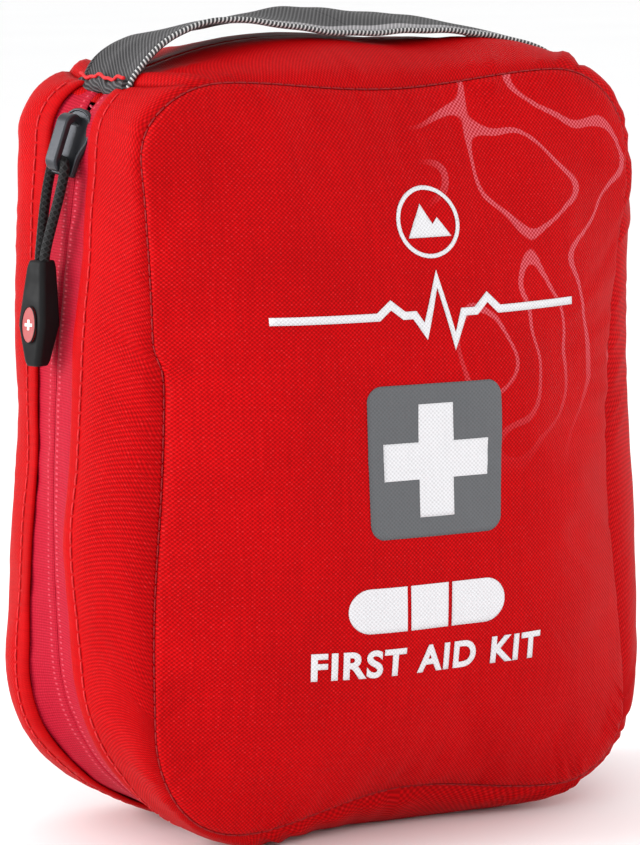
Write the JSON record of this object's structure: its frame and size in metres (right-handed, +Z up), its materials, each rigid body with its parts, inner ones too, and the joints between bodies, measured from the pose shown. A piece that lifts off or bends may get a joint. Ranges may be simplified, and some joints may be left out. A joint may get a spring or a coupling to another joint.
{
  "type": "first aid kit",
  "caption": "Zipped soft case of padded fabric with a webbing handle, opening flat on a fold at its top, with pockets and first aid supplies inside.",
  "frame": {"origin": "middle of the whole object's box, on the surface that it stands on", "axes": "+Z up; +X to the right of someone who faces the front panel; -Y out of the front panel"},
  "size_m": [0.147, 0.0878, 0.1814],
  "materials": {
    "red_polyester": "coated plain-weave polyester",
    "red_lining": "smooth lining cloth",
    "crimson_tape": "woven zip tape with a soft sheen",
    "crimson_coil": "coil zip filament",
    "grey_binding": "woven binding tape",
    "grey_webbing": "twill webbing with a picot edge",
    "black_elastic": "knitted elastic",
    "black_mesh": "open pocket mesh",
    "gunmetal": "gunmetal paint over die-cast metal",
    "black_plastic": "moulded soft-touch plastic and braided cord",
    "red_badge": "printed badge",
    "steel": "stainless",
    "blue_plastic": "moulded plastic",
    "white_paper": "paper wrap",
    "clear_film": "plastic film wrap",
    "crepe_cotton": "crepe bandage",
    "tan_plaster": "plaster strip",
    "blue_card": "printed card and foil",
    "white_print": "screen print",
    "grey_print": "screen print",
    "red_thread": "sewing thread"
  },
  "bodies": {
    "rear_half": {"rear_panel": "red_polyester", "rear_gusset": "red_polyester", "rear_lining": "red_lining", "rear_seam_binding": "grey_binding", "rear_zip_tape": "crimson_tape", "rear_zip_coil": "crimson_coil", "rear_pocket": "red_polyester", "rear_pocket_hem": "grey_binding", "organiser_panel": "red_polyester", "elastic_band": "black_elastic", "scissors_loop": "black_elastic", "tweezers_loop": "black_elastic", "scissor_blade_fixed": "steel", "scissor_handle_fixed": "blue_plastic", "scissor_rivet": "steel", "tweezers": "steel", "safety_pin_1": "steel", "safety_pin_2": "steel", "crepe_bandage_large": "crepe_cotton", "crepe_bandage_small": "crepe_cotton", "microporous_tape": "white_paper", "tape_spool": "blue_plastic", "gloves_pack": "clear_film", "triangular_bandage": "clear_film", "guidance_leaflet": "white_paper", "tablet_blister": "blue_card", "zip_end_stop_left": "grey_binding", "zip_end_stop_right": "grey_binding"},
    "top_strip": {"top_gusset": "red_polyester", "handle_end_left": "grey_webbing", "handle_end_right": "grey_webbing"},
    "front_half": {"front_panel": "red_polyester", "front_gusset": "red_polyester", "front_lining": "red_lining", "front_seam_binding": "grey_binding", "front_zip_tape": "crimson_tape", "front_zip_coil": "crimson_coil", "front_pocket": "black_mesh", "front_pocket_hem": "grey_binding", "dressing_large": "white_paper", "dressing_medium_1": "white_paper", "dressing_medium_2": "white_paper", "plaster_pack_1": "tan_plaster", "plaster_pack_2": "tan_plaster", "wipe_sachet_1": "clear_film", "wipe_sachet_2": "clear_film", "wipe_sachet_3": "clear_film", "wipe_sachet_4": "clear_film"},
    "zip_slide": {"zip_slider": "gunmetal"},
    "zip_pull": {"pull_cord": "black_plastic", "pull_grip": "black_plastic", "pull_badge": "red_badge"},
    "carry_handle": {"handle_strap": "grey_webbing"},
    "scissor_half": {"scissor_blade_moving": "steel", "scissor_handle_moving": "blue_plastic"}
  },
  "joints": [
    {"name": "top_fold", "type": "hinge", "parent": "rear_half", "child": "top_strip", "pos_m": [0, 0.0392, 0.171], "axis": [-1, 0, 0], "range_deg": [0, 90]},
    {"name": "front_open", "type": "hinge", "parent": "top_strip", "child": "front_half", "pos_m": [0, -0.0244, 0.171], "axis": [-1, 0, 0], "range_deg": [0, 90]},
    {"name": "slider_travel", "type": "hinge", "parent": "rear_half", "child": "zip_slide", "pos_m": [0.38232, 0.0049, 0.0668], "axis": [0, -1, 0], "range_deg": [0, 10.9]},
    {"name": "pull_swing", "type": "hinge", "parent": "zip_slide", "child": "zip_pull", "pos_m": [-0.06479, 0.0049, 0.15118], "axis": [0, 1, 0], "range_deg": [0, 150]},
    {"name": "handle_swing", "type": "hinge", "parent": "top_strip", "child": "carry_handle", "pos_m": [0, 0.0049, 0.1726], "axis": [1, 0, 0], "range_deg": [-15, 15]},
    {"name": "scissor_pivot", "type": "hinge", "parent": "rear_half", "child": "scissor_half", "pos_m": [-0.00508, 0.0099, 0.105], "axis": [0, 1, 0], "range_deg": [0, 30]}
  ],
  "couplings": [
    {"joint": "top_fold", "follows": "front_open", "ratio": 1}
  ]
}
